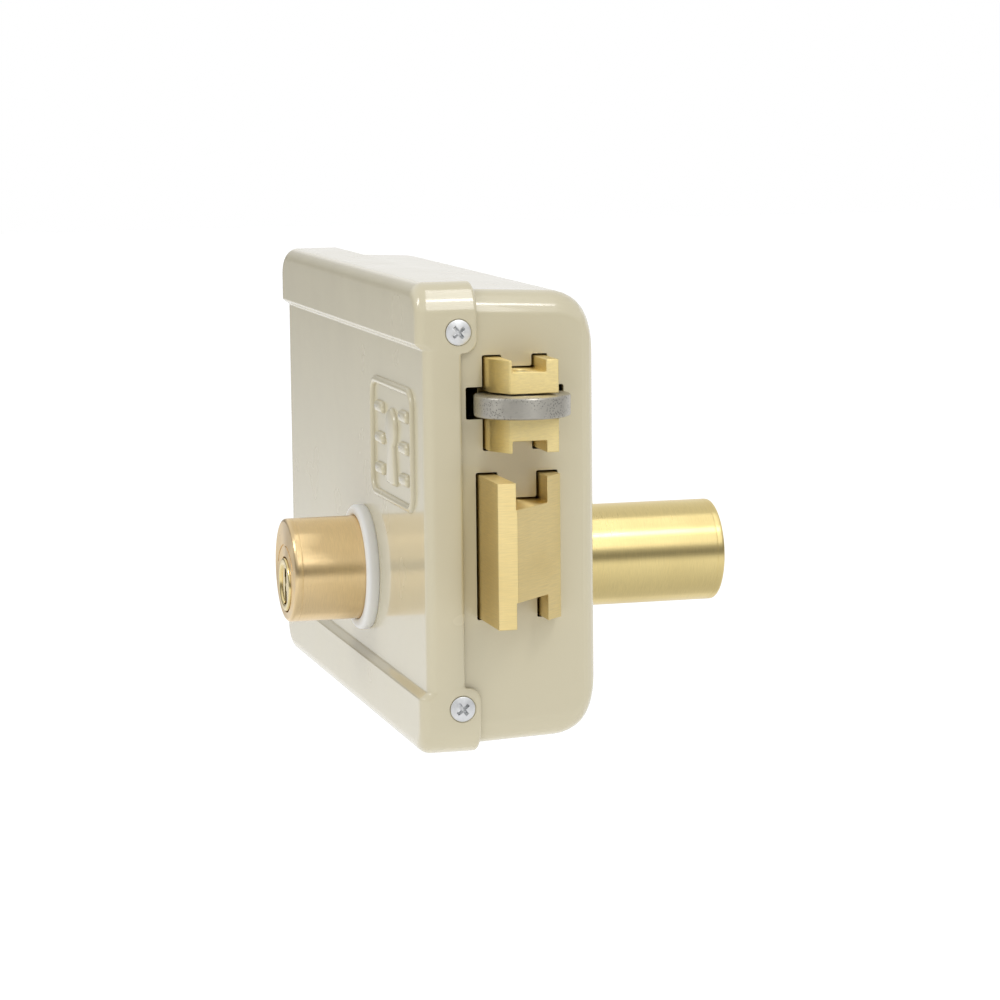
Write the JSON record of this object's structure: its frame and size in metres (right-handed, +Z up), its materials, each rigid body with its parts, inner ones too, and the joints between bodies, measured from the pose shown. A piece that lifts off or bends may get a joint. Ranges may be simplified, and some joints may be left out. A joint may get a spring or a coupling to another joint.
{
  "type": "rim deadbolt lock",
  "caption": "Surface-mounted rim lock case with a bevelled deadbolt, a sprung roller latch and a key cylinder on each side of the door.",
  "frame": {"origin": "centre of the case's flat back, the face that lies on the inside of the door", "axes": "+X the way the bolts are thrown, +Y out through the door along the outer cylinder, -Y the cover side in the room, +Z up"},
  "size_m": [0.1739, 0.1132, 0.112],
  "materials": {
    "ivory_paint": "gloss ivory stoved enamel",
    "satin_brass": "fine brushed",
    "grey_steel": "plain ground, slightly pitted",
    "bright_zinc": "bright zinc plate",
    "spring_steel": "dark drawn wire and strip",
    "white_nylon": "translucent white nylon"
  },
  "bodies": {
    "case": {"case_shell": "ivory_paint", "cover": "ivory_paint", "cover_screw_edge_1": "bright_zinc", "cover_screw_edge_2": "bright_zinc", "cover_screw_rear_1": "bright_zinc", "cover_screw_rear_2": "bright_zinc", "inner_collar": "white_nylon", "inner_cylinder_body": "satin_brass", "outer_cylinder_body": "satin_brass", "cylinder_clamp_plate": "grey_steel", "cylinder_clamp_screw_1": "bright_zinc", "cylinder_clamp_screw_2": "bright_zinc", "inner_cylinder_screw_1": "bright_zinc", "inner_cylinder_screw_2": "bright_zinc", "cylinder_bridge": "grey_steel", "bridge_pillar_1": "grey_steel", "bridge_pillar_2": "grey_steel", "bridge_pillar_3": "grey_steel", "bridge_pillar_4": "grey_steel", "bridge_screw_1": "bright_zinc", "bridge_screw_2": "bright_zinc", "bridge_screw_3": "bright_zinc", "bridge_screw_4": "bright_zinc", "guide_post_front": "grey_steel", "guide_post_rear": "grey_steel", "post_clip_1": "spring_steel", "post_clip_2": "spring_steel", "lever_spacer": "grey_steel", "bolt_guide_plate": "grey_steel", "latch_bracket": "grey_steel", "latch_bracket_screw_1": "bright_zinc", "latch_bracket_screw_2": "bright_zinc", "gear_axle": "grey_steel", "gear_spacer": "grey_steel", "detent_block": "grey_steel", "detent_spring": "spring_steel", "detent_screw": "bright_zinc", "latch_spring": "spring_steel"},
    "main_bolt": {"main_bolt_head": "satin_brass", "main_bolt_plate": "grey_steel", "main_bolt_rivet_1": "grey_steel", "main_bolt_rivet_2": "grey_steel"},
    "gear_pair": {"reduction_gear": "grey_steel", "rack_pinion": "satin_brass"},
    "outer_key_plug": {"outer_plug": "satin_brass", "outer_tail_bar": "grey_steel", "drive_pinion": "grey_steel"},
    "inner_key_plug": {"inner_plug": "satin_brass", "inner_drive_dog": "grey_steel"},
    "latch": {"latch_head": "satin_brass", "latch_tail": "grey_steel", "latch_tail_rivet": "grey_steel", "latch_tail_pin": "grey_steel", "latch_spring_rod": "grey_steel", "roller_pin": "grey_steel"},
    "roller": {"roller": "grey_steel"},
    "lever": {"latch_lever": "grey_steel"}
  },
  "joints": [
    {"name": "deadbolt_slide", "type": "slide", "parent": "case", "child": "main_bolt", "axis": [1, 0, 0], "range_m": [-0.01725, 0], "deforming": ["detent_spring"]},
    {"name": "gear_turn", "type": "hinge", "parent": "case", "child": "gear_pair", "pos_m": [-0.00076, -0.0116, -0.0195], "axis": [0, 1, 0], "range_deg": [-180, 0]},
    {"name": "outer_key_turn", "type": "hinge", "parent": "case", "child": "outer_key_plug", "pos_m": [0.0138, 0.0493, -0.0231], "axis": [0, 1, 0], "range_deg": [0, 360]},
    {"name": "inner_key_turn", "type": "hinge", "parent": "case", "child": "inner_key_plug", "pos_m": [0.0138, -0.0629, -0.0231], "axis": [0, 1, 0], "range_deg": [0, 360]},
    {"name": "latch_slide", "type": "slide", "parent": "case", "child": "latch", "axis": [1, 0, 0], "range_m": [-0.0105, 0], "stiffness_N_per_m": 400, "springref_m": 0.01, "deforming": ["latch_spring"]},
    {"name": "lever_swing", "type": "hinge", "parent": "case", "child": "lever", "pos_m": [0.03, -0.02575, -0.0045], "axis": [0, 1, 0], "range_deg": [-23, 0]},
    {"name": "roller_turn", "type": "hinge", "parent": "latch", "child": "roller", "pos_m": [0.0832, -0.02005, 0.0277], "axis": [0, 0, 1], "continuous": true}
  ],
  "couplings": [
    {"joint": "gear_turn", "follows": "deadbolt_slide", "rad_per_m": 181.82},
    {"joint": "outer_key_turn", "follows": "deadbolt_slide", "rad_per_m": -363.64},
    {"joint": "lever_swing", "follows": "latch_slide", "rad_per_m": 37.2}
  ]
}
